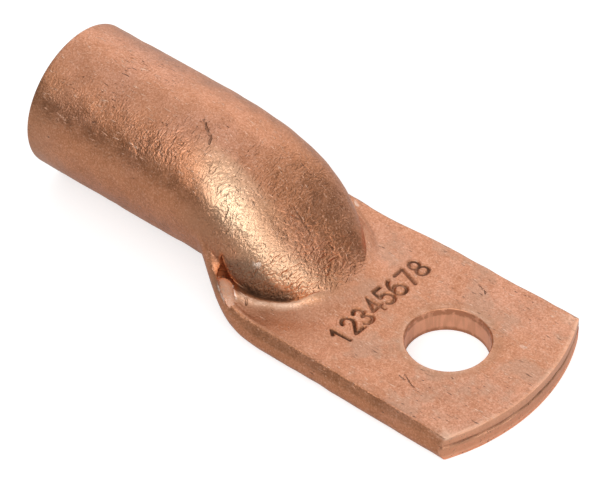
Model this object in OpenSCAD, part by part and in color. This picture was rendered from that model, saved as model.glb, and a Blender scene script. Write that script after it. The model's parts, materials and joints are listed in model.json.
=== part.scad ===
// Tubular cable lug: a round copper tube whose front is pressed flat into a
// palm with one bolt hole. It is one piece of metal and has no joints.
// The origin is the centre of the bolt hole on the flat underside, +Z is up
// and +X runs from the barrel to the tip of the palm.

/* [Barrel] */
// Outer diameter of the round barrel
barrel_od = 24; // [22:0.5:27]
// Thickness of the tube wall, which sets the bore that takes the conductor
tube_wall = 2.5; // [1.8:0.1:3]
// Length of the straight barrel from its mouth to the start of the neck
barrel_length = 21.3; // [16:0.1:45]
// Chamfer on the inner edge of the mouth
mouth_chamfer = 0.5; // [0.2:0.1:0.8]

/* [Neck] */
// Length over which the tube goes from round to flat
neck_length = 33.5; // [30:0.5:40]
// Length of the raised dome's rounded front on the palm
dome_front = 16.5; // [12:0.5:19]
// How much wider than the barrel the dome stands on the palm, each side
shoulder_spread = 0.4; // [0:0.1:1]
// Length over which the sides flare out to the full width of the palm
flare_length = 15.2; // [12:0.2:20]
// Distance from the foot of the dome back to where the full width is reached
flare_gap = 5.8; // [4:0.2:8]

/* [Palm] */
// Width of the flat palm
palm_width = 34; // [31:0.5:40]
// Thickness of the palm, which is two walls of the tube pressed together
palm_thickness = 4.6; // [3.8:0.1:5.4]
// Length of the palm from the foot of the dome to the middle of the end
palm_length = 34.5; // [30:0.5:50]
// Radius of the curved end of the palm
end_radius = 35; // [24:1:80]
// Rounding of the folded side edges where the neck meets the palm
fold_round = 1.8; // [1:0.1:1.8]
// Rounding of the side edges at the tip
tip_round = 0.3; // [0.1:0.1:0.9]
// Depth of the seam that shows between the two pressed walls
seam_depth = 0.3; // [0.1:0.05:0.5]
// Width of the seam at the surface
seam_width = 0.5; // [0.2:0.1:0.8]

/* [Bolt hole] */
// Diameter of the bolt hole
hole_d = 13; // [8.5:0.5:17]
// Distance from the centre of the bolt hole to the middle of the curved end
hole_setback = 16.2; // [13:0.1:19]
// Rounding of the upper rim of the bolt hole, where the punch went in
rim_round = 0.4; // [0.1:0.1:0.8]

/* [Tears] */
// Length of the split in the fold on the right side of the neck
right_tear_length = 9; // [4:0.5:10]
// Width of the right split at its middle
right_tear_width = 2.4; // [1:0.1:3]
// Length of the split in the fold on the left side of the neck
left_tear_length = 4; // [3:0.5:8]
// Width of the left split at its middle
left_tear_width = 1.2; // [0.8:0.1:2]
// Distance from the foot of the dome back to the middle of both splits
tear_setback = 13.6; // [12:0.2:15]
// Height above the seam at which both splits open into the hollow neck
tear_rise = 1.2; // [0.8:0.1:2]
// Lean of both splits, tops towards the barrel
tear_lean = 34; // [20:1:45]

/* [Hidden] */
$fn = 96;
end_fn = 240;
eps = 0.03;
overlap = 1;
copper = [0.72, 0.45, 0.32];

barrel_r = barrel_od / 2;
bore_r = barrel_r - tube_wall;
half_palm = palm_width / 2;
tip_x = hole_setback;
foot_x = tip_x - palm_length;
neck_x = foot_x - neck_length;
mouth_x = neck_x - barrel_length;

// The flare is the stretch in which the round section turns into the flat one
flare_end = foot_x - flare_gap;
flare_start = flare_end - flare_length;
dome_start = foot_x - dome_front;

// Shape of the dome: the fall of its crest and the squareness of its section
crest_in = 2.6;
crest_out = 1.1;
square_side = 2.5;
square_top = 2.9;
flare_soft = 0.07;
dome_tip = 1;

// Angles on the round section that become the fold and the foot of the dome
fold_low = -45;
fold_high = -12;

// Steps of each stretch of the half section and of the whole loft
floor_steps = 6;
fold_steps = 10;
ledge_steps = 5;
dome_steps = 16;
neck_steps = 28;
palm_steps = 6;
closing_power = 1.5;

function clamp01(v) = min(max(v, 0), 1);
function mix(a, b, t) = a + (b - a) * t;

// Share of the way along the neck, with the steps closer towards the foot
function closing(u) = 1 - pow(1 - u, closing_power);

// Height of the crest, half width of the dome and rounding of the edge at x
function crest(x) =
    let (t = clamp01((x - neck_x) / neck_length))
    palm_thickness + (barrel_od - palm_thickness) * pow(1 - pow(t, crest_in), crest_out);
function dome_half(x) =
    let (t = clamp01((x - dome_start) / dome_front))
    (barrel_r + shoulder_spread) * sqrt(1 - t * t);
function edge_round(x) =
    mix(fold_round, tip_round, clamp01((x - dome_start) / (tip_x - dome_start)));
function flare(x) =
    let (t = clamp01((x - flare_start) / (flare_end - flare_start)))
    1 - pow(1 - t * t * (1 + flare_soft) / (t + flare_soft), 2);

// Round section about the barrel's axis, its top half drawn down to the crest
function round_point(angle, r, top) =
    [r * cos(angle), barrel_r + (angle > 0 ? top - barrel_r : r) * sin(angle)];

// Stretches of the half section of the flat palm with the dome on it
function floor_point(u, half, z) = [half * u, z];
function fold_point(u, half, r) =
    [half + r * sin(180 * u), palm_thickness / 2 * (1 - cos(180 * u))];
function ledge_point(u, half, dome) = [mix(half, dome, u), palm_thickness];
function dome_point(u, dome, z, top) =
    [dome * pow(abs(cos(90 * u)), 2 / square_side),
     z + (top - z) * pow(sin(90 * u), 2 / square_top)];

function blend(a, b, t) = [mix(a[0], b[0], t), mix(a[1], b[1], t)];

// Half section from the middle of the underside round to the crest. It blends
// the round section, radius r, with the flat one by the amount t.
function half_section(t, r, top, half, edge, dome) = concat(
    [for (i = [0 : floor_steps]) let (u = i / floor_steps)
        blend(round_point(mix(-90, fold_low, u), r, top),
              floor_point(u, half - edge, 0), t)],
    [for (i = [1 : fold_steps]) let (u = i / fold_steps)
        blend(round_point(mix(fold_low, fold_high, u), r, top),
              fold_point(u, half - edge, edge), t)],
    [for (i = [1 : ledge_steps]) let (u = i / ledge_steps)
        blend(round_point(mix(fold_high, 0, u), r, top),
              ledge_point(u, half - edge, dome), t)],
    [for (i = [1 : dome_steps]) let (u = i / dome_steps)
        blend(round_point(90 * u, r, top),
              dome_point(u, dome, palm_thickness, top), t)]
);

// Closed ring at x, with the half section mirrored in the middle plane
function ring(x, half) = concat(
    [for (p = half) [x, p[0], p[1]]],
    [for (i = [len(half) - 2 : -1 : 1]) [x, -half[i][0], half[i][1]]]
);

// Middle of the line between the lowest and the highest point of a ring
function ring_middle(r) = (r[0] + r[len(r) / 2]) / 2;

// Skin over a row of rings, closed at both ends by a fan from a middle point
module loft(rings) {
    count = len(rings[0]);
    rows = len(rings);
    last = (rows - 1) * count;
    first_hub = rows * count;
    polyhedron(
        points = concat(
            [for (r = rings) for (p = r) p],
            [ring_middle(rings[0]), ring_middle(rings[rows - 1])]
        ),
        faces = [for (k = [0 : count - 1])
            let (n = (k + 1) % count)
            each concat(
                [[first_hub, k, n], [first_hub + 1, last + n, last + k]],
                [for (s = [0 : rows - 2]) let (a = s * count, b = a + count)
                    each [[a + k, b + k, b + n], [a + k, b + n, a + n]]]
            )],
        convexity = 6
    );
}

function outer_ring(x) =
    ring(x, half_section(flare(x), barrel_r - eps, crest(x) - eps * (1 - flare(x)),
                         half_palm, edge_round(x), max(dome_half(x), dome_tip)));

// Neck and palm in one skin, up to a square end that the palm's outline trims.
// It starts inside the barrel, thinner by eps, so that no faces coincide.
module neck_and_palm() {
    loft(concat(
        [outer_ring(neck_x - overlap)],
        [for (i = [0 : neck_steps])
            outer_ring(neck_x + neck_length * closing(i / neck_steps))],
        [for (i = [1 : palm_steps])
            outer_ring(foot_x + (palm_length + overlap) * i / palm_steps)]
    ));
}

// Inside of the neck, which narrows to the slit where the two walls meet
slit_z = palm_thickness / 2;
slit_gap = 0.2;
slit_end = foot_x - slit_gap;
hollow_low = -30;
hollow_steps = 24;

function inner_top(x) = max(crest(x) - tube_wall - eps, slit_z + slit_gap);
function inner_half(x) = max(dome_half(x) - tube_wall, dome_tip);
function inner_section(t, r, top, dome) = concat(
    [for (i = [0 : floor_steps]) let (u = i / floor_steps)
        blend(round_point(mix(-90, hollow_low, u), r, top),
              floor_point(u, dome, slit_z), t)],
    [for (i = [1 : dome_steps]) let (u = i / dome_steps)
        blend(round_point(mix(hollow_low, 90, u), r, top),
              dome_point(u, dome, slit_z, top), t)]
);
function inner_ring(x) =
    ring(x, inner_section(flare(x), bore_r - eps, inner_top(x), inner_half(x)));

module neck_cavity() {
    loft(concat(
        [inner_ring(neck_x - overlap)],
        [for (i = [0 : hollow_steps])
            inner_ring(neck_x + (slit_end - neck_x) * closing(i / hollow_steps))]
    ));
}

module barrel() {
    translate([mouth_x, 0, barrel_r])
        rotate([0, 90, 0]) cylinder(h = barrel_length, r = barrel_r);
}

module bore() {
    translate([mouth_x, 0, barrel_r]) rotate([0, 90, 0]) {
        translate([0, 0, -overlap]) cylinder(h = barrel_length + overlap, r = bore_r);
        translate([0, 0, -eps])
            cylinder(h = mouth_chamfer + eps, r1 = bore_r + mouth_chamfer + eps, r2 = bore_r);
    }
}

// Outline that trims the loft: straight sides and one curved end
module palm_outline() {
    intersection() {
        translate([tip_x - end_radius, 0, -overlap])
            cylinder(h = barrel_od + 2 * overlap, r = end_radius, $fn = end_fn);
        translate([tip_x - end_radius, -half_palm - overlap, -overlap])
            cube([end_radius + overlap, palm_width + 2 * overlap, barrel_od + 2 * overlap]);
    }
    translate([neck_x - 2 * overlap, -half_palm - overlap, -overlap])
        cube([tip_x - end_radius - neck_x + 3 * overlap,
              palm_width + 2 * overlap, barrel_od + 2 * overlap]);
}

// Punched bolt hole: rounded over above, sharp on the underside
module bolt_hole() {
    r = hole_d / 2;
    translate([0, 0, -overlap]) cylinder(h = palm_thickness + 2 * overlap, r = r);
    translate([0, 0, palm_thickness]) rotate_extrude() difference() {
        translate([r - eps, -rim_round]) square(rim_round + eps);
        translate([r + rim_round, -rim_round]) circle(r = rim_round);
    }
}

// Seam between the two walls, along both sides and across the curved end
module seam() {
    for (side = [-1, 1])
        translate([flare_end, side * half_palm, slit_z]) rotate([90, 0, 90])
            linear_extrude(height = tip_x - flare_end)
                polygon([[side * eps, -seam_width / 2], [side * eps, seam_width / 2],
                         [-side * seam_depth, 0]]);
    translate([tip_x - end_radius, 0, slit_z]) rotate([0, 0, -90])
        rotate_extrude(angle = 180, $fn = end_fn)
            polygon([[end_radius + eps, -seam_width / 2], [end_radius + eps, seam_width / 2],
                     [end_radius - seam_depth, 0]]);
}

// Middle of a split on the flank of the neck, and where it opens inside
tear_x = foot_x - tear_setback;
tear_out = blend(
    round_point(fold_high / 2, barrel_r, crest(tear_x)),
    ledge_point(1 / 2, half_palm - edge_round(tear_x), dome_half(tear_x)),
    flare(tear_x)
);
tear_in = [mix(bore_r, inner_half(tear_x), flare(tear_x)), slit_z + tear_rise];
tear_way = tear_out - tear_in;
tear_tilt = atan2(tear_way[1], tear_way[0]);
tear_depth = norm(tear_way) + overlap;

// Split in the fold: a lens-shaped slot from the flank into the hollow neck,
// through the upper wall only
module tear(side, length, width) {
    bow = (length * length + width * width) / (4 * width);
    mirror([0, side > 0 ? 1 : 0, 0]) intersection() {
        translate([tear_x, -tear_out[0], tear_out[1]])
            rotate([90 - tear_tilt, 0, 0]) rotate([0, 0, tear_lean])
                translate([0, 0, -tear_depth])
                    linear_extrude(height = tear_depth + tube_wall) intersection() {
                        translate([bow - width / 2, 0]) circle(r = bow);
                        translate([width / 2 - bow, 0]) circle(r = bow);
                    }
        translate([tear_x - length, -palm_width, slit_z])
            cube([2 * length, palm_width, barrel_od]);
    }
}

module cable_lug() {
    color(copper) difference() {
        union() {
            barrel();
            intersection() {
                neck_and_palm();
                palm_outline();
            }
        }
        bore();
        neck_cavity();
        bolt_hole();
        seam();
        tear(-1, right_tear_length, right_tear_width);
        tear(1, left_tear_length, left_tear_width);
    }
}

cable_lug();
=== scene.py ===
import json
import math
import bmesh
import bpy
import numpy as np
from mathutils import Matrix, Vector


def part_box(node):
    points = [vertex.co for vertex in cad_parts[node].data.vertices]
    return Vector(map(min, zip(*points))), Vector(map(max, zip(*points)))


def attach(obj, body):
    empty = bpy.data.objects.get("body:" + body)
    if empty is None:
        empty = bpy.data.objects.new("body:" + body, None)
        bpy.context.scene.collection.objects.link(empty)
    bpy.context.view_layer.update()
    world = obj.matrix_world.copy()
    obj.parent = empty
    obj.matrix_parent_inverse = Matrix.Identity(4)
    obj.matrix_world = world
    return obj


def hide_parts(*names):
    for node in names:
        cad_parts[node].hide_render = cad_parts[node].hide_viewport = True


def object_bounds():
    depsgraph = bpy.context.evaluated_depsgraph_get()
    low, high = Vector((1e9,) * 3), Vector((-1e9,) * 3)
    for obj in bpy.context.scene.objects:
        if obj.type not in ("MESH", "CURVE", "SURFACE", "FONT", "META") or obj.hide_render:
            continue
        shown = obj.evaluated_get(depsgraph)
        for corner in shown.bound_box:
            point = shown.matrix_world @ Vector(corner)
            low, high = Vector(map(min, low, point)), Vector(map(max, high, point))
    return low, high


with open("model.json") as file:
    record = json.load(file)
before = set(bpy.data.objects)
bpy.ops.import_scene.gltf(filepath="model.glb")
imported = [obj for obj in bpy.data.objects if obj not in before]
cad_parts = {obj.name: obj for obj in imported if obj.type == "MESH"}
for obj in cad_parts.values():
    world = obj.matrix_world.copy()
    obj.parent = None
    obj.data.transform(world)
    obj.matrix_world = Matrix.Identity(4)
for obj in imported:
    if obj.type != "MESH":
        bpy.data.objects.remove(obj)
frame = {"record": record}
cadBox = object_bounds()
mounts = {m["name"]: m for m in frame["record"]["mounts"]}
mm = 0.001  # the lug is worked out in millimetres and written in metres
print("frame loaded, box", [round(v / mm, 1) for v in cadBox[1] - cadBox[0]], "mm")

boxLow, boxHigh = [np.array(v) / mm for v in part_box("cable_lug")]

lug = {
    "mouthX": boxLow[0],
    "tipX": boxHigh[0],
    "halfPalm": boxHigh[1],
    "barrelR": boxHigh[2] / 2,
    "boreR": mounts["barrel_bore"]["dims"]["r_mm"],
    "holeR": mounts["bolt_hole"]["dims"]["r_mm"],
    "palm": mounts["washer_face"]["pos_m"][2] / mm,
    "palmLength": 34.5,
    "neckLength": 33.5,
    "domeFront": 16.5,
    "shoulderSpread": 0.4,
    "flareLength": 15.2,
    "flareGap": 5.8,
    "endRadius": 35.0,
    "endBend": 8.4,         # length over which the cross lines take up the curved end
    "foldRound": 1.8,
    "tipRound": 0.9,
    "rimRound": 0.4,
    "mouthRound": 0.12,
    "crestIn": 2.6,
    "crestOut": 1.1,
    "squareSide": 2.5,
    "squareTop": 2.9,
    "flareSoft": 0.07,
    "domeTip": 1.0,
    "foldLow": -45.0,
    "foldHigh": -12.0,
    "seamDepth": 0.35,
    "seamShare": 0.58,      # height of the seam as a share of the palm
    "slitGap": 0.2,
}
lug["footX"] = lug["tipX"] - lug["palmLength"]
lug["neckX"] = lug["footX"] - lug["neckLength"]
lug["flareEnd"] = lug["footX"] - lug["flareGap"]
lug["flareStart"] = lug["flareEnd"] - lug["flareLength"]
lug["wall"] = lug["barrelR"] - lug["boreR"]


def clamp01(v):
    return np.clip(v, 0.0, 1.0)


def mix(a, b, t):
    return a + (b - a) * t


def smooth(low, high, v):
    # 0 below low, 1 above high, with an S curve between
    t = clamp01((v - low) / (high - low))
    return t * t * (3 - 2 * t)


def bump(v, middle, width):
    # bell curve, 1 at the middle
    return np.exp(-((v - middle) / width) ** 2)


def crest(x):
    # height of the top line: it falls from the barrel to the palm along the neck
    t = clamp01((x - lug["neckX"]) / lug["neckLength"])
    return lug["palm"] + (2 * lug["barrelR"] - lug["palm"]) * (1 - t ** lug["crestIn"]) ** lug["crestOut"]


def domeHalf(x):
    # half width of the dome: full at its back, then a quarter ellipse to its front
    t = clamp01((x - lug["footX"] + lug["domeFront"]) / lug["domeFront"])
    return (lug["barrelR"] + lug["shoulderSpread"]) * np.sqrt(1 - t * t)


def edgeRound(x):
    t = clamp01((x - lug["footX"] + lug["domeFront"]) / (lug["palmLength"] + lug["domeFront"]))
    return mix(lug["foldRound"], lug["tipRound"], t)


def flare(x):
    # share of the way from the round section to the flat one, quick at first and slow at the end
    t = clamp01((x - lug["flareStart"]) / lug["flareLength"])
    return 1 - (1 - t * t * (1 + lug["flareSoft"]) / (t + lug["flareSoft"])) ** 2


# Stretches of the half section, from the middle of the underside to the crest, each with its
# number of steps and with how they crowd towards its end (over 1) or its start (under 1)
stretches = {"floor": (22, 1.25), "fold": (20, 1.0), "ledge": (34, 1.45), "dome": (58, 0.8)}


def sectionPlaces():
    # places round a half section: the whole part counts stretches, the rest is the way along one
    parts = []
    for number, (steps, crowd) in enumerate(stretches.values()):
        u = np.arange(0 if number == 0 else 1, steps + 1) / steps
        parts.append(number + 1 - (1 - u) ** crowd if crowd >= 1 else number + u ** (1 / crowd))
    return np.concatenate(parts)


def roundPoint(angle, r, top):
    # circle about the barrel's axis, its upper half drawn to the crest
    middle = lug["barrelR"]
    up = np.where(angle > 0, top - middle, r)
    return r * np.cos(angle), middle + up * np.sin(angle)


def sectionPoint(x, v, r, top, half, edge, dome, floorZ, thick):
    # y and z of a loft at x and place v. The round section is a circle; the flat one is a floor,
    # a half circle for the folded edge, a ledge and a superellipse dome; flare(x) blends them.
    stage = np.clip(np.floor(v), 0, 3).astype(int)
    u = v - stage
    quarter = math.pi / 2
    low, high = math.radians(lug["foldLow"]), math.radians(lug["foldHigh"])
    angle = np.choose(stage, [mix(-quarter, low, u), mix(low, high, u), mix(high, 0, u), quarter * u])
    roundY, roundZ = roundPoint(angle, r, top)
    over = quarter * u
    plain = smooth(lug["footX"] - 0.5, lug["footX"] + 2, x)
    flatY = np.choose(stage, [
        (half - edge) * u,
        half - edge + edge * np.sin(math.pi * u),
        mix(half - edge, dome, u),
        dome * mix(np.abs(np.cos(over)) ** (2 / lug["squareSide"]), 1 - u, plain)])
    flatZ = np.choose(stage, [
        floorZ + 0 * u,
        floorZ + thick / 2 * (1 - np.cos(math.pi * u)),
        floorZ + thick + 0 * u,
        floorZ + thick + (top - floorZ - thick) * np.sin(over) ** (2 / lug["squareTop"])])
    t = flare(x)
    return mix(roundY, flatY, t), mix(roundZ, flatZ, t)


# Rows along the lug: where their spacing changes, and how many lie in each stretch
rowGrid = {
    "flareLead": 4.0,
    "splitFrom": -35.5,
    "splitTo": -28.0,
    "footLead": 1.5,
    "footTail": 0.6,
    "figureMargin": 0.5,
    "counts": (56, 26, 42, 30, 14, 9, 34, 56),
}


def rowPlaces():
    # from the mouth to the tip, closer where the neck bends, at the split and over the figures
    margin = rowGrid["figureMargin"]
    stops = [lug["mouthX"] + lug["mouthRound"], lug["flareStart"] - rowGrid["flareLead"],
             rowGrid["splitFrom"], rowGrid["splitTo"],
             lug["footX"] - rowGrid["footLead"], lug["footX"] + rowGrid["footTail"],
             figures["topX"] - margin, figures["topX"] + figures["height"] + margin, lug["tipX"]]
    parts = [np.linspace(a, b, n, endpoint=False) for a, b, n in zip(stops, stops[1:], rowGrid["counts"])]
    return np.concatenate(parts + [[lug["tipX"]]])


def mirrored(y, z):
    # whole rings out of half sections, with the first and last point kept once
    return (np.concatenate([y, -y[:, -2:0:-1]], axis=1), np.concatenate([z, z[:, -2:0:-1]], axis=1))


def endDistance(x, y):
    # distance from the centre of the curved end
    return np.hypot(x - lug["tipX"] + lug["endRadius"], y)


def curvedEnd(x, y):
    # moves the cross lines back towards the sides so that the last one is an arc
    drop = lug["endRadius"] - np.sqrt(lug["endRadius"] ** 2 - np.minimum(np.abs(y), lug["halfPalm"]) ** 2)
    return x - drop * clamp01((x - lug["tipX"] + lug["endBend"]) / lug["endBend"])


# Plain figures one to eight in a row, struck into the palm by hand
figures = {
    "topX": -14.7,
    "height": 3.5,
    "firstY": -9.5,
    "pitch": 2.68,
    "depth": 0.32,
    "stroke": 0.25,
    "rimHeight": 0.06,
}


def arc(cx, cy, rx, ry, start, end, n=9):
    a = np.radians(np.linspace(start, end, n))
    return [(cx + rx * math.cos(k), cy + ry * math.sin(k)) for k in a]


def figureStrokes():
    # strokes of each figure in a box 0.56 wide and 1 high
    return [
        [[(0.12, 0.78), (0.32, 1.0), (0.32, 0.0)]],
        [arc(0.28, 0.72, 0.26, 0.28, 165, -35) + [(0.02, 0.0), (0.56, 0.0)]],
        [arc(0.26, 0.75, 0.24, 0.25, 150, -90), arc(0.26, 0.26, 0.28, 0.26, 90, -150)],
        [[(0.42, 0.0), (0.42, 1.0), (0.0, 0.3), (0.56, 0.3)]],
        [[(0.52, 1.0), (0.08, 1.0), (0.05, 0.57)] + arc(0.26, 0.32, 0.28, 0.32, 130, -150)],
        [arc(0.36, 0.32, 0.36, 0.68, 90, 180), arc(0.28, 0.3, 0.28, 0.3, 0, 360, 15)],
        [[(0.0, 1.0), (0.56, 1.0), (0.18, 0.0)]],
        [arc(0.28, 0.75, 0.23, 0.25, 0, 360, 13), arc(0.28, 0.26, 0.28, 0.26, 0, 360, 15)],
    ]


def strokeDistance(px, py, points):
    # distance from each place to the nearest part of a run of straight stretches
    best = np.full(px.shape, 1e3)
    for (ax, ay), (bx, by) in zip(points[:-1], points[1:]):
        dx, dy = bx - ax, by - ay
        t = clamp01(((px - ax) * dx + (py - ay) * dy) / max(dx * dx + dy * dy, 1e-9))
        best = np.minimum(best, np.hypot(px - ax - t * dx, py - ay - t * dy))
    return best


def figureRelief(x, y):
    # height of the struck figures: a rounded groove along each stroke with a faint rim
    relief = np.zeros(x.shape)
    handwork = np.random.default_rng(7)
    size = figures["height"]
    for place, strokes in enumerate(figureStrokes()):
        lean, shift, deep = handwork.uniform([-0.1, -0.12, 0.75], [0.1, 0.12, 1.1])
        middleY = figures["firstY"] + place * figures["pitch"]
        across = y - middleY + shift
        along = figures["topX"] + size / 2 - x + shift
        px = across * math.cos(lean) + along * math.sin(lean) + 0.28 * size
        py = -across * math.sin(lean) + along * math.cos(lean) + size / 2
        far = np.full(x.shape, 1e3)
        for points in strokes:
            far = np.minimum(far, strokeDistance(px, py, [(a * size, b * size) for a, b in points]))
        groove = np.exp(-(far / figures["stroke"]) ** 2 * 1.2)
        rim = bump(far, figures["stroke"] * 2.1, figures["stroke"] * 0.6)
        relief += -figures["depth"] * deep * groove + figures["rimHeight"] * deep * rim
    return relief


# Soft lumps, as sums of sine waves in turned directions; the skin is first drawn in by the inset
lumps = {"height": 0.07, "length": 9.0, "waves": 14, "inset": 0.03}


def lumpiness(points, seed, length):
    # smooth three-dimensional waviness between about -1 and 1
    chance = np.random.default_rng(seed)
    total = np.zeros(points.shape[:-1])
    for _ in range(lumps["waves"]):
        way = chance.normal(size=3)
        way *= chance.uniform(0.6, 1.5) * 2 * math.pi / length / np.linalg.norm(way)
        total += np.sin(points @ way + chance.uniform(0, 2 * math.pi))
    return total / math.sqrt(lumps["waves"])


# Foot of the dome: turn is degrees round it, 0 at its front and -90 on the near side. The flank
# is pinched in on the near side, over a groove with a bead outside it; elsewhere the foot is a
# small slope, wide at the front and crisp on the far side.
foot = {
    "back": -36.0,          # nothing of this behind here
    "full": -32.5,
    "pinchDepth": 0.10,
    "pinchHigh": 5.6,       # height of the pinched flank by the split, and at its front end
    "pinchLow": 1.0,
    "grooveDepth": 0.24,
    "grooveWidth": 0.32,
    "beadHeight": 0.48,
    "beadReach": 1.6,
    "beadWidth": 0.72,
    "dishDepth": 0.12,
    "dishReach": 3.9,
    "dishWidth": 1.5,
    "frontHeight": 1.25,
    "frontReach": 2.7,
    "frontSoft": 1.2,
    "farHeight": 1.05,
    "farReach": 1.7,
    "farSoft": 0.12,
    # the turns over which each part of it fades in or changes
    "pinchTurns": (-38, -62),
    "pinchFall": (-86, -40),
    "groovePathTurns": (-75, -58),
    "grooveTurns": (-42, -56),
    "beadTurns": (-16, -34),
    "farTurns": (12, 48),
    "slopeTurns": (-52, -26),
}


def footPlace(x, y):
    # turn round the dome's outline in degrees, and distance outside it in the plan
    back = lug["footX"] - lug["domeFront"]
    long_, wide = lug["domeFront"], lug["barrelR"] + lug["shoulderSpread"]
    ex, ey = np.maximum(x - back, 0) / long_, y / wide
    size = np.maximum(np.hypot(ex, ey), 1e-6)
    steep = np.maximum(np.hypot(ex / long_, ey / wide) / size, 1e-6)
    return np.degrees(np.arctan2(ey, np.maximum(ex, 1e-6))), np.maximum((size - 1) / steep, -8)


def groovePath(turn):
    # distance of the groove outside the dome's outline
    return mix(0.1, -0.3, smooth(*foot["groovePathTurns"], turn))


def beadPath(turn):
    # distance of the bead: it leaves the outline in front and is farthest out at the split
    return foot["beadReach"] * clamp01((-18 - turn) / 57) ** 1.1


def softRise(height, soft):
    # the height where it is above 0, with a rounded corner
    low = np.maximum(height + soft, 0) ** 2 / (4 * soft)
    return np.where(height > soft, height, low)


def footRelief(x, y, z, base, onTop):
    # returns the moved y and z; base is the height of the ledge in the same row
    turn, out = footPlace(x, y)
    along = smooth(foot["back"], foot["full"], x) * onTop
    above = np.maximum(z - base, 0)
    nearSide = smooth(*foot["pinchTurns"], turn)
    pinchTop = mix(foot["pinchHigh"], foot["pinchLow"], smooth(*foot["pinchFall"], turn))
    pinch = smooth(1.35, 0.25, above / pinchTop) * smooth(2.2, 0.0, out) * nearSide
    y = y + foot["pinchDepth"] * pinch * smooth(-37.5, -33.5, x) * smooth(-19.5, -24.5, x) * onTop
    grooveFade = smooth(*foot["grooveTurns"], turn) * smooth(1.6, 0.3, above)
    beadFade = smooth(*foot["beadTurns"], turn) * smooth(1.0, 0.2, above)
    z = z - along * grooveFade * foot["grooveDepth"] * bump(out, groovePath(turn), foot["grooveWidth"])
    z = z + along * beadFade * foot["beadHeight"] * bump(out, beadPath(turn), foot["beadWidth"])
    z = z - along * beadFade * foot["dishDepth"] * bump(out, foot["dishReach"], foot["dishWidth"])
    far = smooth(*foot["farTurns"], turn)
    reach = mix(foot["frontReach"], foot["farReach"], far)
    soft = mix(foot["frontSoft"], foot["farSoft"], far)
    slope = mix(foot["frontHeight"], foot["farHeight"], far) * (1 - out / reach) - above
    return y, z + along * smooth(*foot["slopeTurns"], turn) * softRise(slope, soft)


# Above the folds the palm's long edges roll over, and a crease runs along each fold below
roll = {"from": 15.4, "depth": 0.62, "creaseDepth": 0.22, "creaseWidth": 0.045, "upperIn": 0.22}

# The far fold is worn narrower beside the dome
waist = {"depth": 0.75, "middle": -24.0, "width": 7.5}


def skin(x, v):
    # the outer skin at x and place v of the half section, with the foot's relief and the figures;
    # v below 0 stands for the near half
    side = np.where(v < 0, -1.0, 1.0)
    place = np.abs(v)
    wide = mix(lug["domeTip"], 10.5, smooth(lug["footX"], lug["footX"] + 3.5, x))
    dome = np.maximum(domeHalf(x), wide)
    y, z = sectionPoint(x, place, lug["barrelR"], crest(x), lug["halfPalm"], edgeRound(x), dome,
                        0.0, lug["palm"])
    y = y * side
    base = mix(lug["barrelR"], lug["palm"], flare(x))
    x = curvedEnd(x, y)
    onTop = smooth(1.9, 2.1, place)
    y, z = footRelief(x, y, z, base, onTop)
    y = y - waist["depth"] * bump(x, waist["middle"], waist["width"]) * smooth(10, 15, y)
    edgeward = np.maximum(np.abs(y) - roll["from"], 0) / (lug["halfPalm"] - roll["from"])
    z = z - roll["depth"] * edgeward ** 2 * smooth(1.5, 1.8, place) * smooth(-33, -26, x)
    crease = roll["creaseDepth"] * bump(place, 1.5, roll["creaseWidth"])
    crease = crease + roll["upperIn"] * smooth(1.5, 1.58, place) * smooth(2.0, 1.8, place)
    y = y - side * crease * smooth(-31, -25, x)
    z = z + figureRelief(x, y) * onTop * smooth(lug["footX"], lug["footX"] + 1, x)
    return np.stack([x, y, z], axis=-1)


def outerGrid(x):
    v = sectionPlaces()
    ring = np.concatenate([v, -v[-2:0:-1]])
    return skin(*np.broadcast_arrays(x[:, None], ring[None, :]))


def gridNormals(points):
    # unit normals of a grid whose second direction closes on itself
    along = np.gradient(points, axis=0)
    around = np.roll(points, -1, axis=1) - np.roll(points, 1, axis=1)
    n = np.cross(around, along)
    return n / np.maximum(np.linalg.norm(n, axis=-1, keepdims=True), 1e-9)


# The raw cut at the tip: how far its face is set back, how much more below the seam, and how much
# each row that closes it is narrower than the end
rawCut = {"back": 0.08, "lowBack": 0.16, "narrow": 0.002}


def tipCap(last):
    # rows that close the end: rounded edges, the raw cut and the wavy seam between the two walls
    y = last[:, 1]
    middle = lug["palm"] * lug["seamShare"] + 0.14 * np.sin(0.37 * y + 0.8) + 0.07 * np.sin(1.3 * y)
    rows = []
    for out, keep in ((0.0, 0.985), (0.06, 0.94), (0.08, 0.86), (0.08, 0.6), (0.08, 0.34),
                      (0.06, 0.17), (-0.1, 0.09), (-lug["seamDepth"], 0.03)):
        row = last.copy()
        row[:, 2] = middle + (row[:, 2] - middle) * keep
        below = smooth(0, 1, (middle - row[:, 2]) / lug["palm"] * 3)
        row[:, 0] += out - rawCut["back"] - rawCut["lowBack"] * below
        row[:, 1] *= 1 - (1 - keep) * rawCut["narrow"]
        rows.append(row)
    return np.array(rows)


def mouthRim(first):
    # rows that carry the skin over the mouth: rounded outer edge, flat ring, rounded inner edge
    round_, middle = lug["mouthRound"], lug["barrelR"]
    y, z = first[:, 1] / middle, (first[:, 2] - middle) / middle
    rows = []
    for r, x in ((middle - 0.1 * round_, 0.55 * round_), (middle - 0.35 * round_, 0.2 * round_),
                 (middle - round_, 0.0), (mix(middle, lug["boreR"], 0.4), 0.0),
                 (mix(middle, lug["boreR"], 0.7), 0.0), (lug["boreR"] + 0.5, 0.0),
                 (lug["boreR"] + 0.15, 0.25), (lug["boreR"], 0.5)):
        rows.append(np.stack([lug["mouthX"] + x + 0 * y, r * y, middle + r * z], axis=-1))
    return np.array(rows)


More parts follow.
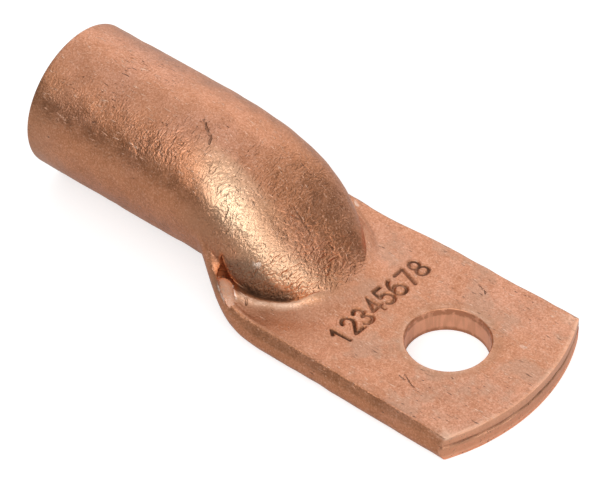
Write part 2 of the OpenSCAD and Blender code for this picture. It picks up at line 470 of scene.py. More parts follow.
def innerGrid():
    # bore and hollow neck, narrowing to the slit where the two walls meet
    slitZ, gap = lug["palm"] / 2, lug["slitGap"]
    x = np.concatenate([np.linspace(lug["mouthX"] + 0.8, lug["neckX"], 8, endpoint=False),
                        mix(lug["neckX"], lug["footX"] - gap, 1 - (1 - np.linspace(0, 1, 40)) ** 1.5)])
    x, v = np.broadcast_arrays(x[:, None], sectionPlaces()[None, :])
    top = np.maximum(crest(x) - lug["wall"], slitZ + gap)
    half = np.maximum(domeHalf(x) - lug["wall"], lug["domeTip"])
    y, z = mirrored(*sectionPoint(x, v, lug["boreR"], top, half + 0.02, 0.05, half - 0.02, slitZ, 0.04))
    return np.stack([x[:, :1] + 0 * y, y, z], axis=-1)


def ringFaces(rows, count):
    # four-sided faces between neighbouring rings, closed round each ring
    a = np.arange(rows - 1)[:, None] * count + np.arange(count)[None, :]
    b = np.arange(rows - 1)[:, None] * count + (np.arange(count)[None, :] + 1) % count
    return np.stack([a, b, b + count, a + count], axis=-1).reshape(-1, 4)


def meshObject(name, points, faces, caps=()):
    mesh = bpy.data.meshes.new(name)
    every = [tuple(f) for f in faces.tolist()] + [tuple(c) for c in caps]
    mesh.from_pydata((points * mm).tolist(), [], every)
    mesh.update()
    mesh.validate()
    piece = bpy.data.objects.new(name, mesh)
    bpy.context.collection.objects.link(piece)
    return piece


def closedTube(name, points):
    steps = points.shape[1]
    last = (len(points) - 1) * steps
    caps = [list(range(steps))[::-1], list(range(last, last + steps))]
    return meshObject(name, points.reshape(-1, 3), ringFaces(len(points), steps), caps)


def fixFaces(piece):
    # turns all faces of a closed piece outwards
    shell = bmesh.new()
    shell.from_mesh(piece.data)
    bmesh.ops.recalc_face_normals(shell, faces=shell.faces)
    openEdges = sum(len(edge.link_faces) != 2 for edge in shell.edges)
    print(piece.name, "open edges", openEdges, "volume", round(shell.calc_volume(signed=True) / mm ** 3))
    shell.to_mesh(piece.data)
    shell.free()


def closeSlivers(piece):
    # the cuts leave faces with corners almost in a line: all become triangles, and an edge that
    # more than two of them share is drawn together until none is left
    shell = bmesh.new()
    shell.from_mesh(piece.data)
    bmesh.ops.triangulate(shell, faces=shell.faces[:])
    for _ in range(6):
        shared = [edge for edge in shell.edges if len(edge.link_faces) != 2]
        if not shared:
            break
        bmesh.ops.collapse(shell, edges=shared, uvs=False)
    shell.to_mesh(piece.data)
    shell.free()


def setMask(piece, name, values):
    layer = piece.data.attributes.get(name) or piece.data.attributes.new(name, "FLOAT", "POINT")
    layer.data.foreach_set("value", clamp01(np.asarray(values)).astype(np.float32))


def lugBody():
    x = rowPlaces()
    outer = outerGrid(x)
    normals = gridNormals(outer)
    place = outer[..., 0]
    fade = smooth(lug["mouthX"], lug["mouthX"] + 2, place) * smooth(lug["tipX"], lug["tipX"] - 2, place)
    uneven = 0.6 * lumpiness(outer, 3, lumps["length"]) + 0.4 * lumpiness(outer, 4, lumps["length"] * 0.4)
    rise = -lumps["inset"] + lumps["height"] * uneven * fade
    outer = outer + normals * np.minimum(rise, 0.0)[..., None]
    count = outer.shape[1]
    outer = outer[::-1]  # from the tip back to the mouth
    inner = innerGrid()
    rows = np.concatenate([tipCap(outer[0])[::-1], outer, mouthRim(outer[-1]), inner])
    faces = ringFaces(len(rows), count)[:, ::-1]
    last = (len(rows) - 1) * count
    caps = [list(range(count)), list(range(last, last + count))[::-1]]
    piece = meshObject("lug_body", rows.reshape(-1, 3), faces, caps)
    hidden = np.zeros(rows.shape[:2])
    hidden[-len(inner):] = 1
    setMask(piece, "inside", hidden.ravel())
    setMask(piece, "torn", 0 * hidden.ravel())
    return piece


def lathe(name, profile, steps=128):
    # solid of revolution about Z, from a run of radius and height
    a = np.linspace(0, 2 * math.pi, steps, endpoint=False)
    r, z = np.array(profile)[:, :1], np.array(profile)[:, 1:]
    return closedTube(name, np.stack([r * np.cos(a), r * np.sin(a), z + 0 * a], axis=-1))


def holeCutter():
    # punched hole: straight wall, a rim rounded over above and a slightly eased edge below
    r, top, soft = lug["holeR"], lug["palm"], lug["rimRound"]
    rim = [(r + soft - soft * math.cos(a), top - soft + soft * math.sin(a))
           for a in np.linspace(0, math.pi / 2, 7)]
    lower = [(r + 0.12, -1.0), (r + 0.12, 0.02), (r, 0.16)]
    cutter = lathe("hole_cutter", lower + rim + [(r + soft, top + 1)])
    fixFaces(cutter)
    return cutter


# The split in each fold. Outlines are drawn on the plane across the split's own way, as along the
# lug and up the flank from the split's middle. The near one is open behind and half closed in
# front by a pale torn face that lies a little below the skin.
splits = {
    "back": 13.6,
    "rise": 1.2,
    "near": [(-1.95, 3.6), (-2.15, 2.3), (-2.05, 1.1), (-1.5, 0.1), (-0.95, 0.3), (0.1, 0.25), (1.2, -0.3),
             (2.1, -0.95), (1.75, -0.5), (0.75, 0.4), (-0.3, 1.05), (-1.0, 1.85), (-1.55, 2.8)],
    "nearFloor": (-2.3, 0.35, -0.9),
    "nearFace": [(-1.0, 0.45), (0.1, 0.3), (1.2, -0.25), (2.15, -0.95), (2.75, -1.8), (2.68, -2.9),
                 (2.0, -2.85), (1.2, -2.35), (0.1, -1.65), (-0.9, -0.8), (-1.5, -0.1)],
    "far": [(-1.1, 1.7), (-0.75, 0.5), (0.0, -0.5), (1.1, -1.6), (0.85, -0.6), (0.2, 0.5)],
    "faceFloor": (-0.62, -0.21, -0.55),   # level of the torn face, and how it falls along and up
}


def splitPlace():
    # middle of the split on the flank, half way along the ledge, and its way inwards
    x = lug["footX"] - splits["back"]
    t = float(flare(x))
    a = math.radians(lug["foldHigh"] / 2)
    y0, z0 = roundPoint(np.array(a), lug["barrelR"], float(crest(x)))
    y1 = mix(lug["halfPalm"] - float(edgeRound(x)), float(domeHalf(x)), 0.5)
    out = np.array([mix(float(y0), y1, t), mix(float(z0), lug["palm"], t)])
    inside = np.array([mix(lug["boreR"], float(domeHalf(x)) - lug["wall"], t),
                       lug["palm"] / 2 + splits["rise"]])
    return x, out, inside


def roundedLoop(points, steps=6):
    # closed Catmull-Rom curve through the points
    p = np.array(points)
    a, b, c, d = p, np.roll(p, -1, 0), np.roll(p, -2, 0), np.roll(p, -3, 0)
    t = (np.arange(steps) / steps)[None, :, None]
    a, b, c, d = [k[:, None, :] for k in (a, b, c, d)]
    curve = 0.5 * (2 * b + (c - a) * t + (2 * a - 5 * b + 4 * c - d) * t ** 2
                   + (3 * b - a - 3 * c + d) * t ** 3)
    return curve.reshape(-1, 2)


def splitCutter(name, outline, side, floor, mask):
    # prism with a torn edge along the split's way, down to the hollow or to a sloping floor
    x, out, inside = splitPlace()
    way = out - inside
    depth = float(np.linalg.norm(way)) + 0.6
    way = way / np.linalg.norm(way)
    loop = roundedLoop(outline)
    turn = np.arange(len(loop))
    loop = loop + 0.05 * np.stack([np.sin(turn * 1.9), np.cos(turn * 2.7)], axis=1)
    u, v = loop[:, 0], loop[:, 1]
    bottom = -depth + 0 * u if floor is None else floor[0] + floor[1] * u + floor[2] * v
    share = np.linspace(0, 1, 7)[:, None]
    level = mix(bottom[None, :], lug["wall"] + 0.5, share)
    px = x + u + 0 * level
    py = side * (out[0] + level * way[0] - v * way[1])
    pz = np.maximum(out[1] + level * way[1] + v * way[0], lug["palm"] / 2 + 0.05 * share)
    points = np.stack([px, py, pz], axis=-1)
    floorMiddle = points[0].mean(axis=0)
    points = np.concatenate([[mix(floorMiddle, points[0], 0.4), mix(floorMiddle, points[0], 0.8)], points])
    cutter = closedTube(name, points)
    fixFaces(cutter)
    every = np.ones(points.shape[0] * points.shape[1])
    setMask(cutter, "inside", every * (mask == "inside"))
    setMask(cutter, "torn", every * (mask == "torn"))
    return cutter


def splitRims(x, y, z):
    # closeness to the torn face's outline and to the open split's, on the near flank
    midX, out, inside = splitPlace()
    way = (out - inside) / np.linalg.norm(out - inside)
    u = x - midX
    v = (z - out[1]) * way[0] + (y + out[0]) * way[1]
    level = (z - out[1]) * way[1] - (y + out[0]) * way[0]
    flank = smooth(-1.6, -1.0, level)
    rims = []
    for name, width in (("nearFace", 0.16), ("near", 0.38), ("nearFace", 1.0)):
        loop = roundedLoop(splits[name])
        far = strokeDistance(u, v, [tuple(q) for q in np.concatenate([loop, loop[:1]])])
        rims.append(bump(far, 0, width) * flank)
    return rims


def cutAway(piece, cutter):
    cut = piece.modifiers.new("cut", "BOOLEAN")
    cut.operation = "DIFFERENCE"
    cut.solver = "MANIFOLD"
    cut.object = cutter
    bpy.context.view_layer.objects.active = piece
    bpy.ops.object.modifier_apply(modifier=cut.name)
    bpy.data.objects.remove(cutter)


body = lugBody()
print("body mesh", len(body.data.polygons), "faces")
cutAway(body, holeCutter())
cutAway(body, splitCutter("near_cutter", splits["near"], -1, splits["nearFloor"], "inside"))
cutAway(body, splitCutter("face_cutter", splits["nearFace"], -1, splits["faceFloor"], "torn"))
cutAway(body, splitCutter("far_cutter", splits["far"], 1, None, "inside"))
closeSlivers(body)
fixFaces(body)
print("hole and splits cut", len(body.data.polygons), "faces")


def finishMesh(piece):
    mesh = piece.data
    mesh.shade_smooth()
    mesh.set_sharp_from_angle(angle=math.radians(38))


finishMesh(body)


def pointPlaces(piece):
    flat = np.empty(len(piece.data.vertices) * 3)
    piece.data.vertices.foreach_get("co", flat)
    return flat.reshape(-1, 3) / mm


def paintMasks(piece):
    # grime and painted shade lie in the figures and the groove, a dark joint along the seam, stain and
    # painted shade on the pinched flank; wear, with a painted highlight on the bead, is on raised edges
    x, y, z = pointPlaces(piece).T
    palm, holeR, endRadius = lug["palm"], lug["holeR"], lug["endRadius"]
    turn, out = footPlace(x, y)
    radius, fromEnd = np.hypot(x, y), endDistance(x, y)
    above = z - mix(lug["barrelR"], palm, flare(x))
    onPalm = smooth(lug["footX"], lug["footX"] + 1, x) * smooth(palm - 0.8, palm - 0.5, z)
    ledge = smooth(-0.6, -0.1, above)
    along = smooth(-36, -33, x) * smooth(-18.5, -22, x)
    pastHole = smooth(0, 4, x)

    # grime and painted shade in what is sunk: the figures, the groove and the far crease; the seam is a
    # dark joint
    struck = smooth(-0.03, -0.18, figureRelief(x, y)) * onPalm
    groove = bump(out, groovePath(turn), 0.22) * smooth(-34, -44, turn) * smooth(1.4, 0.2, above)
    farLine = bump(out, foot["farReach"], 0.28) * smooth(20, 40, turn)
    farLine = farLine * smooth(95, 80, turn) * smooth(0.5, 0.1, above)
    seam = bump(z, palm * lug["seamShare"], 0.35)
    seam = seam * smooth(endRadius - 0.6, endRadius - 0.15, fromEnd) * pastHole
    setMask(piece, "grime", struck + (0.8 * groove + 0.35 * farLine) * ledge * along + 0.9 * seam)

    # the pressed dome, less crinkled on its shoulder, where a pale highlight is painted
    # grey-brown on the pinched flank by the split: a stain, and painted shade of this concave flank
    stainShadeTop = 1.6 + 4.2 * bump(turn, -68, 13)
    stain = smooth(1.25, 0.75, above / stainShadeTop) * smooth(1.1, 0.4, out) * smooth(-38, -50, turn) * ledge
    onDome = smooth(-42, -33, x) * smooth(0.9, -0.5, out) * smooth(-0.5, 0.3, above)
    lowFront = mix(0.38, 1.0, smooth(14.5, 8.5, z)) * mix(1.0, 0.25, smooth(-10, 30, turn))
    down, over = 0.84 * (x + 35) - 0.54 * (z - 17.6), 0.54 * (x + 35) + 0.84 * (z - 17.6)
    shoulder = bump(np.hypot(down / 6.5, over / 1.9), 0, 1) * smooth(-3, -5, y)
    setMask(piece, "pressed", onDome * lowFront * (1 - 0.1 * stain) * (1 - 0.4 * shoulder))
    # a pale highlight painted along the shoulder and over the crinkled near flank
    crinkled = bump(turn, -48, 26) * bump(out, -1.2, 2.2) * smooth(3.5, 6.0, z) * smooth(-36, -33, x)
    setMask(piece, "burnish", shoulder + 0.7 * crinkled)

    # darkened patches: painted shade on the flank behind the split and on the low near side of the mouth,
    # where the metal mirrors the dim room; brown tarnish round the hole's rim; a darker tone on the ledge
    # on both sides
    dull = bump(np.hypot((x + 25) / 9, (y + 12) / 4), 0, 1) * smooth(-0.5, 0.5, out) * ledge
    dull = dull * smooth(-34, -31, x) + 0.5 * bump(out, 0.6, 0.9) * smooth(20, 45, turn) * ledge
    dull += 1.2 * bump(np.hypot((x + 37.5) / 4.5, (z - 13.6) / 2.8), 0, 1) * smooth(-8, -9.5, y)
    dull += 0.6 * bump(radius, holeR + 0.9, 0.8) * onPalm
    dull += 0.6 * smooth(-64, -72.5, x) * smooth(1, -7, y) * smooth(24, 19, z)
    setMask(piece, "dull", dull)

    # wear on the hole's rim, the long edges, the tip and the end's corners, and a painted highlight along
    # the bead
    rim = bump(radius, holeR + 0.45, 0.35) * smooth(palm - 0.5, palm - 0.1, z)
    raised = smooth(palm - 0.9, palm - 0.2, z)
    edge = bump(np.abs(y), lug["halfPalm"] - 0.25, 0.45) * raised
    edge = edge * smooth(lug["flareEnd"] - 2, lug["flareEnd"] + 2, x)
    tip = bump(fromEnd, endRadius - 0.25, 0.28) * raised * pastHole
    bead = bump(out, beadPath(turn), 0.7) * smooth(-18, -34, turn) * ledge * smooth(1.2, 0.3, above) * along
    corner = bump(np.hypot(x - lug["tipX"] + 4.8, np.abs(y) - lug["halfPalm"] + 1.0), 0, 1.6) * onPalm
    setMask(piece, "wear", 0.25 * rim + 0.3 * edge + 0.45 * tip + 1.6 * bead + corner)

    # stain with painted shade, a burr painted pale as a highlight, and rust round the split
    lip, tornEdge, aroundFace = splitRims(x, y, z)
    stain = np.maximum(stain * smooth(-35.5, -33.5, x), 0.75 * aroundFace * smooth(-0.2, -1.2, out - 3.2))
    setMask(piece, "stain", stain)
    torn = np.empty(len(x), np.float32)
    piece.data.attributes["torn"].data.foreach_get("value", torn)
    # the burr along the torn face's edge is painted pale, as a highlight
    setMask(piece, "burr", lip * smooth(0.9, 0.5, torn))
    setMask(piece, "rust", tornEdge)

    # the bored wall of the hole and the sheared face of the end
    setMask(piece, "bored", smooth(holeR + 0.4, holeR + 0.15, radius) * smooth(palm, palm - 0.3, z))
    setMask(piece, "sheared", smooth(endRadius - 0.5, endRadius - 0.2, fromEnd) * pastHole)


paintMasks(body)
print("masks painted")


class Val:
    # wraps a number socket, so that shader maths is written as an expression
    def __init__(self, nodes, socket):
        self.nodes, self.socket = nodes, socket

    def math(self, operation, *others):
        return self.nodes.add("ShaderNodeMath", {"operation": operation}, 0, self, *others)

    def __add__(self, o):
        return self.math("ADD", o)

    def __sub__(self, o):
        return self.math("SUBTRACT", o)

    def __mul__(self, o):
        return self.math("MULTIPLY", o)

    def __truediv__(self, o):
        return self.math("DIVIDE", o)

    def __rsub__(self, o):
        return self.nodes.add("ShaderNodeMath", {"operation": "SUBTRACT"}, 0, o, self)

    __radd__ = __add__
    __rmul__ = __mul__

    def clamped(self):
        return self.nodes.add("ShaderNodeMath", {"operation": "ADD", "use_clamp": True}, 0, self, 0.0)

    def between(self, low, high):
        # 0 at low and 1 at high, smooth between; low may be the larger
        return self.nodes.add("ShaderNodeMapRange", {"interpolation_type": "SMOOTHSTEP"}, 0,
                              self, low, high, 0.0, 1.0)


class Nodes:
    # a material's node tree: add() makes any node from its settings and its inputs in order
    def __init__(self, name, tree=None):
        if tree is None:
            self.material = bpy.data.materials.new(name)
            self.material.use_nodes = True
            tree = self.material.node_tree
        self.tree = tree
        self.tree.nodes.clear()

    def put(self, socket, value):
        if isinstance(value, Val):
            value = value.socket
        if isinstance(value, bpy.types.NodeSocket):
            self.tree.links.new(value, socket)
        else:
            socket.default_value = value

    def add(self, kind, settings=None, output=0, *inputs, **named):
        node = self.tree.nodes.new(kind)
        for key, value in (settings or {}).items():
            setattr(node, key, value)
        for socket, value in zip(node.inputs, inputs):
            if value is not None:
                self.put(socket, value)
        for key, value in named.items():
            self.put(node.inputs[key.replace("_", " ")], value)
        return Val(self, node.outputs[output]) if output is not None else node

    def blend(self, amount, a, b):
        # colour a, turned to b by the amount
        node = self.tree.nodes.new("ShaderNodeMix")
        node.data_type = "RGBA"
        self.put(node.inputs[0], amount)
        self.put(node.inputs[6], a)
        self.put(node.inputs[7], b)
        return Val(self, node.outputs[2])

    def place(self, turn=(0, 0, 0), stretch=(1, 1, 1)):
        coordinates = self.add("ShaderNodeTexCoord", None, 3)
        return self.add("ShaderNodeMapping", None, 0, coordinates,
                        (0, 0, 0), [math.radians(a) for a in turn], stretch)

    def noise(self, where, scale, detail=2.0, rough=0.5, distortion=0.0):
        return self.add("ShaderNodeTexNoise", None, 0, Vector=where, Scale=scale,
                        Detail=detail, Roughness=rough, Distortion=distortion)

    def shifted(self, where, colour, amount):
        # where, moved by up to half the amount each way by a colour between 0 and 1
        away = self.add("ShaderNodeVectorMath", {"operation": "SUBTRACT"}, 0, colour, (0.5, 0.5, 0.5))
        away = self.add("ShaderNodeVectorMath", {"operation": "SCALE"}, 0, away, Scale=amount)
        return self.add("ShaderNodeVectorMath", {"operation": "ADD"}, 0, where, away)

    def ridges(self, where, scale, width):
        # sharp crests along the middle level of a noise, falling to 0 within the width
        away = (self.noise(where, scale, 1.5, 0.5) - 0.5).math("ABSOLUTE")
        return (1 - away / width).clamped()


# Copper: colours are in linear light, scales in repeats per metre, and stretches of the lug along
# x or z in metres, as where something starts to show and where it shows in full
copper = {
    "pink": (0.76, 0.372, 0.243, 1),
    "tan": (0.70, 0.306, 0.160, 1),
    "brown": (0.40, 0.150, 0.065, 1),
    "bright": (0.95, 0.640, 0.470, 1),
    "rubbed": (0.98, 0.700, 0.460, 1),
    "soot": (0.060, 0.028, 0.016, 1),
    "stain": (0.27, 0.172, 0.115, 1),
    "pale": (0.97, 0.80, 0.68, 1),
    "smudge": (0.50, 0.310, 0.215, 1),
    "dull": (0.44, 0.230, 0.135, 1),
    "orange": (0.66, 0.200, 0.065, 1),
    "fresh": (0.92, 0.580, 0.420, 1),
    "bored": (0.97, 0.500, 0.310, 1),
    "roughness": 0.38,
    "patchScale": 90,
    "mottleScale": 330,
    "grainScale": 3400,
    "wrinkleScale": 900,
    "wrinklePatchScale": 410,
    "warpScale": 600,
    "warp": 0.0009,
    "blotchScale": 240,
    "speckScale": (1500, 3400, 3400),
    "nickScale": (620, 3000, 1900),
    "nickTurns": ((0, 18), (0, -47), (35, 75), (0, 128)),
    "jagScale": 1400,
    "jag": 0.0005,
    "brokenScale": 1100,
    "streakScale": 1500,
    "smudgeScale": 170,
    "burrScale": 700,
    "neckBack": (-0.068, -0.040),
    "neckFront": (-0.024, -0.034),
    "smudgeBack": (-0.024, -0.018),
    "holeLow": (0.0011, 0.0002),
    "holeHigh": (0.0031, 0.0036),
    "cutLow": (0.0009, 0.0004),
    "reliefDepth": 0.00016,
}


# Single marks left by tools and handling, seen from above: how wide each is, and its two ends
marks = {
    "dark": [
        (0.16, (-45.7, -1.9), (-45.0, -1.8)), (0.20, (-45.5, -2.0), (-44.2, -3.0)),
        (0.18, (-44.2, -3.0), (-42.8, -3.7)), (0.15, (-42.8, -3.7), (-42.4, -4.6)),
        (0.16, (-28.3, -1.6), (-26.5, -1.8)), (0.12, (-27.9, -2.9), (-27.0, -2.1)),
        (0.14, (-26.4, -1.8), (-24.9, -1.8)), (0.22, (-22.8, 0.2), (-22.2, 0.3)),
        (0.20, (-31.7, 4.5), (-31.0, 4.8)), (0.16, (-30.6, 4.4), (-30.1, 4.6)),
        (0.10, (-0.4, -9.9), (2.3, -11.1)), (0.09, (-0.9, -10.5), (0.3, -10.7)),
        (0.11, (-3.6, 12.1), (-2.6, 11.9)), (0.11, (-2.2, 11.7), (-1.6, 11.2)),
        (0.13, (-28.2, -13.2), (-27.5, -13.8)), (0.25, (-31.0, 14.3), (-30.3, 14.2)),
    ],
    "pale": [
        (0.34, (9.2, 5.9), (9.8, 5.9)), (0.13, (-28.6, -10.9), (-27.7, -10.4)),
        (0.25, (-29.0, 14.0), (-28.4, 13.7)),
    ],
}


def stroke(n, plan, width, start, end):
    # 1 on the line between the ends, falling to 0 within the width
    start, way = np.array(start + (0,)) * mm, np.array([end[0] - start[0], end[1] - start[1], 0]) * mm
    away = n.add("ShaderNodeVectorMath", {"operation": "SUBTRACT"}, 0, plan, tuple(start))
    along = n.add("ShaderNodeVectorMath", {"operation": "DOT_PRODUCT"}, 1, away, tuple(way / (way @ way)))
    nearest = n.add("ShaderNodeVectorMath", {"operation": "SCALE"}, 0, tuple(way), Scale=along.clamped())
    off = n.add("ShaderNodeVectorMath", {"operation": "DISTANCE"}, 1, away, nearest)
    return off.between(width * 1.3 * mm, width * 0.5 * mm)


def allStrokes(n, where, kind):
    plan = n.add("ShaderNodeVectorMath", {"operation": "MULTIPLY"}, 0, where, (1, 1, 0))
    total = None
    for width, start, end in marks[kind]:
        one = stroke(n, plan, width, start, end)
        total = one if total is None else total.math("MAXIMUM", one)
    return total


def copperMaterial():
    n = Nodes("copper")
    where = n.place()
    x, z = [n.add("ShaderNodeSeparateXYZ", None, k, where) for k in (0, 2)]
    names = ("grime", "stain", "wear", "inside", "torn", "bored",
             "pressed", "burnish", "dull", "rust", "burr", "sheared")
    grime, stain, wear, inside, torn, bored, pressed, burnish, dull, rust, burr, sheared = [
        n.add("ShaderNodeAttribute", {"attribute_name": name}, 2) for name in names]
    facing = n.add("ShaderNodeSeparateXYZ", None, 2, n.add("ShaderNodeNewGeometry", None, 1))

    patches = n.noise(where, copper["patchScale"], 3.0, 0.55)
    mottle = n.noise(where, copper["mottleScale"], 4.0, 0.6, 0.4)
    grain = n.noise(where, copper["grainScale"], 3.0, 0.65)

    # where the metal was pressed it is crinkled, mostly across the lug: strongest on the dome
    neck = x.between(*copper["neckBack"]) * x.between(*copper["neckFront"]) * patches.between(0.42, 0.60)
    creased = (0.10 + 0.40 * neck + 0.90 * pressed) * (1 - inside) * (1 - torn)
    across = n.place(stretch=(1, 0.42, 0.6))
    shake = n.add("ShaderNodeTexNoise", None, 1, Vector=across, Scale=copper["warpScale"], Detail=1.0)
    warped = n.shifted(across, shake, copper["warp"])
    wrinkle = n.ridges(warped, copper["wrinkleScale"], 0.11)
    wrinkle = wrinkle * n.noise(where, copper["wrinklePatchScale"], 1.0).between(0.42, 0.58)
    fineWrinkle = n.ridges(warped, copper["wrinkleScale"] * 2.1, 0.13)
    crease = (0.8 * wrinkle + 0.5 * fineWrinkle) * creased
    blotch = n.noise(where, copper["blotchScale"], 4.0, 0.7).between(0.58, 0.72) * (0.15 + 0.85 * pressed)

    speck = n.noise(n.place((0, 0, 27), copper["speckScale"]), 1.0, 1.0).between(0.37, 0.28)
    speck = speck * mottle.between(0.60, 0.44)

    # nicks: short strokes in several directions, some dark, and some bright on upward faces as painted
    # glints
    glintNick, darkNick = None, None
    for tilt, turn in copper["nickTurns"]:
        strokes = n.noise(n.place((0, tilt, turn), copper["nickScale"]), 1.0, 1.0, distortion=0.4)
        bright, dark = strokes.between(0.70, 0.80), strokes.between(0.29, 0.20)
        glintNick = bright if glintNick is None else glintNick.math("MAXIMUM", bright)
        darkNick = dark if darkNick is None else darkNick.math("MAXIMUM", dark)
    darkNick = darkNick * patches.between(0.44, 0.60)
    glintNick = glintNick * facing.between(0.1, 0.6)

    shiver = n.add("ShaderNodeTexNoise", None, 1, Vector=where, Scale=copper["jagScale"])
    jagged = n.shifted(where, shiver, copper["jag"])
    above = facing.between(0.0, 0.2) * (1 - inside)
    darkMark, paleMark = [allStrokes(n, jagged, kind) * above for kind in ("dark", "pale")]

    broken = n.noise(where, copper["brokenScale"], 2.0).between(0.36, 0.58)

    # the hole's wall is streaked from top to bottom and dark at its lower end; the seam is blotched
    streaks = n.noise(n.place(stretch=(1, 1, 0.15)), copper["streakScale"], 2.0).between(0.42, 0.62)
    ringed = bored * (0.3 * streaks + (0.6 + 0.8 * broken) * z.between(*copper["holeLow"]) +
                      (0.3 + broken) * z.between(*copper["holeHigh"]))
    smudge = n.noise(where, copper["smudgeScale"], 4.0, 0.65).between(0.48, 0.64)
    smudge = smudge * facing.between(0.8, 1.0) * x.between(*copper["smudgeBack"])

    # upward faces are painted paler and pinker, as where light falls from above; the patches are the
    # metal's own tone
    pinker = facing.between(0.75, 1.0) * 0.6 + patches.between(0.40, 0.65) * 0.4
    # each layer's amount and colour, from the lowest up
    layers = [
        (mottle.between(0.60, 0.35) * 0.30, "brown"),
        (grain.between(0.58, 0.34) * 0.45, "brown"),
        (grain.between(0.52, 0.72) * 0.40, "bright"),
        (speck * 0.45, "brown"),
        (smudge * 0.45, "smudge"),
        # painted shade on the neck's near flank and by the mouth, tarnish round the hole, a darker tone on
        # the ledge
        (dull * 0.55, "dull"),
        (sheared * 0.6, "bored"),
        # painted highlight on the shoulder and the crinkled near flank
        (burnish * 0.9, "rubbed"),
        # the creases darkened: painted shade in them
        ((crease * 0.42).clamped(), "brown"),
        (blotch * 0.6, "brown"),
        (darkNick * 0.7, "soot"),
        (glintNick * 0.6, "bright"),
        (bored * 0.8, "bored"),
        (ringed.clamped() * 0.75, "brown"),
        (inside * 0.85, "orange"),
        (torn * 0.9, "fresh"),
        # wear on raised edges, and a painted highlight along the bead
        (wear * mottle.between(0.35, 0.6) * 0.8, "bright"),
        # stain, and painted shade on the pinched flank and round the torn face
        (stain * 0.8, "stain"),
        (rust * 0.75, "orange"),
        (darkMark * broken * 0.55, "soot"),
        (paleMark * (0.35 + 0.65 * broken) * 0.6, "pale"),
        (torn * grain.between(0.60, 0.40) * 0.5, "tan"),
        # painted highlight on the burr
        (burr * n.noise(where, copper["burrScale"], 2.0).between(0.42, 0.58), "pale"),
        # near-black in the sunk places: painted shade in the figures, the groove and the far crease, with
        # grime; a dark joint along the seam
        ((grime * (0.35 + 0.5 * mottle.between(0.3, 0.6))).clamped(), "soot"),
    ]
    colour = n.blend(pinker, copper["tan"], copper["pink"])
    for amount, name in layers:
        colour = n.blend(amount, colour, copper[name])

    roughness = (copper["roughness"] + 0.25 * (mottle - 0.5) + 0.15 * grime + 0.08 * stain
                 + 0.15 * torn - 0.06 * wear - 0.07 * burnish)
    relief = 0.30 * mottle + 0.34 * grain - 1.0 * crease - 0.35 * darkNick + 0.25 * glintNick - 0.8 * darkMark
    normal = n.add("ShaderNodeBump", None, 0, Strength=1.0, Distance=copper["reliefDepth"], Height=relief)
    # hidden, torn, burred and bored metal is matter, and so is the lowest strip of the raw cut, which
    # would otherwise show a strong reflection of its own metal
    metal = (1 - 0.55 * inside - 0.35 * torn - 0.4 * burr - 0.5 * bored
             - 0.9 * sheared * z.between(*copper["cutLow"])).clamped()
    shader = n.add("ShaderNodeBsdfPrincipled", None, 0, Base_Color=colour, Metallic=metal,
                   Roughness=roughness.clamped(), Normal=normal)
    n.add("ShaderNodeOutputMaterial", None, None, shader)
    return n.material


body.data.materials.clear()
body.data.materials.append(copperMaterial())
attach(body, "root")
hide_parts("cable_lug")
print("copper on")

# Floor and studio: a pale table that reads as white, a room that is bright overhead and dim at
# the horizon, and three soft lamps. Azimuths and elevations are where the light comes from.
studio = {
    "floorHalf": 1.6,
    "floorGlow": 0.62,
    "mirrorGlow": 0.08,
    "roomLow": 0.08,
    "roomHigh": 0.84,
    "roomFrom": 0.36,       # the sine of the elevation where the room starts to brighten, and ends
    "roomTo": 0.76,
    "lamps": {
        "key": {"azimuth": -74, "elevation": 42, "distance": 0.62, "width": 0.66, "height": 0.32,
                "radiance": 2.1},
        "side": {"azimuth": -14, "elevation": 13, "distance": 0.62, "width": 0.74, "height": 0.30,
                 "radiance": 1.9},
        "back": {"azimuth": 112, "elevation": 23, "distance": 0.80, "width": 1.20, "height": 0.64,
                 "radiance": 0.97},
    },
}


def floorMaterial():
    # lit white, with a glow added for what the camera and the metal see of it
    n = Nodes("pale_floor")
    path = n.add("ShaderNodeLightPath", None, None)
    seen = Val(n, path.outputs["Is Camera Ray"])
    glossy = Val(n, path.outputs["Is Glossy Ray"])
    through = Val(n, path.outputs["Is Transmission Ray"])
    white = n.add("ShaderNodeBsdfDiffuse", None, 0, Color=(0.62, 0.62, 0.62, 1))
    glow = (seen * studio["floorGlow"] + (glossy + through) * studio["mirrorGlow"]).clamped()
    light = n.add("ShaderNodeEmission", None, 0, (1, 1, 1, 1), glow)
    both = n.add("ShaderNodeAddShader", None, 0, white, light)
    n.add("ShaderNodeOutputMaterial", None, None, both)
    return n.material


def makeFloor():
    s = studio["floorHalf"] / mm
    corners = np.array([[-s, -s, 0], [s, -s, 0], [s, s, 0], [-s, s, 0]], float)
    floor = meshObject("floor", corners, np.array([[0, 1, 2, 3]]))
    floor.data.materials.append(floorMaterial())


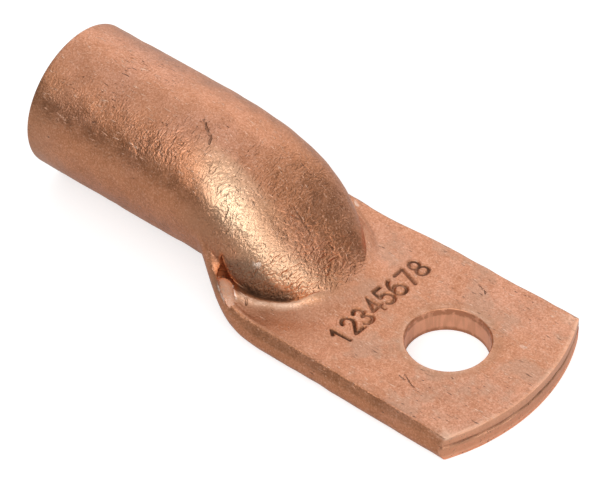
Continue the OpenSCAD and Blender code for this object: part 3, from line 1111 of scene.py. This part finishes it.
def makeWorld():
    # room light by elevation; the camera sees white
    world = bpy.data.worlds.new("room")
    bpy.context.scene.world = world
    world.use_nodes = True
    n = Nodes("room", world.node_tree)
    way = n.add("ShaderNodeTexCoord", None, 0)
    height = n.add("ShaderNodeSeparateXYZ", None, 2, way)
    level = studio["roomLow"] + (studio["roomHigh"] - studio["roomLow"]) * height.between(
        studio["roomFrom"], studio["roomTo"])
    seen = n.add("ShaderNodeLightPath", None, 0)
    strength = level + (1 - level) * seen
    background = n.add("ShaderNodeBackground", None, 0, (1, 1, 1, 1), strength)
    n.add("ShaderNodeOutputWorld", None, None, background)


def towards(azimuth, elevation):
    a, e = math.radians(azimuth), math.radians(elevation)
    return Vector((math.cos(a) * math.cos(e), math.sin(a) * math.cos(e), math.sin(e)))


def makeLamp(name, azimuth, elevation, distance, width, height, radiance):
    # rectangular lamp turned to the lug; its power follows from how bright its face is to look like
    lamp = bpy.data.lights.new(name, "AREA")
    lamp.shape, lamp.size, lamp.size_y = "RECTANGLE", width, height
    lamp.energy = radiance * width * height * math.pi
    holder = bpy.data.objects.new(name, lamp)
    middle = (cadBox[0] + cadBox[1]) / 2
    way = towards(azimuth, elevation)
    holder.location = middle + way * distance
    holder.rotation_euler = way.to_track_quat("Z", "Y").to_euler()
    bpy.context.collection.objects.link(holder)


makeFloor()
makeWorld()
for name, values in studio["lamps"].items():
    makeLamp(name + "_lamp", **values)

# Camera: it looks down the lug from the palm's end, aimed beside the bolt hole
camera = {
    "azimuth": 39.3,
    "elevation": 43.57,
    "roll": 0.28,
    "distance": 0.59727,
    "aimRight": -0.0219,
    "aimUp": 0.01793,
    "lens": 239.61,
}


def makeCamera():
    a, e, r = [math.radians(camera[k]) for k in ("azimuth", "elevation", "roll")]
    back = Vector((math.sin(a) * math.cos(e), -math.cos(a) * math.cos(e), math.sin(e)))
    right = Vector((math.cos(a), math.sin(a), 0))
    up = back.cross(right)
    right, up = right * math.cos(r) + up * math.sin(r), up * math.cos(r) - right * math.sin(r)
    data = bpy.data.cameras.new("camera")
    data.sensor_width, data.lens = 36, camera["lens"]
    data.clip_start, data.clip_end = 0.01, 20
    holder = bpy.data.objects.new("camera", data)
    turn = Matrix((right, up, back)).transposed()
    holder.matrix_world = Matrix.Translation(
        back * camera["distance"] + right * camera["aimRight"] + up * camera["aimUp"]) @ turn.to_4x4()
    bpy.context.collection.objects.link(holder)
    bpy.context.scene.camera = holder


makeCamera()
bpy.context.scene.view_settings.view_transform = "Standard"
print("studio set")
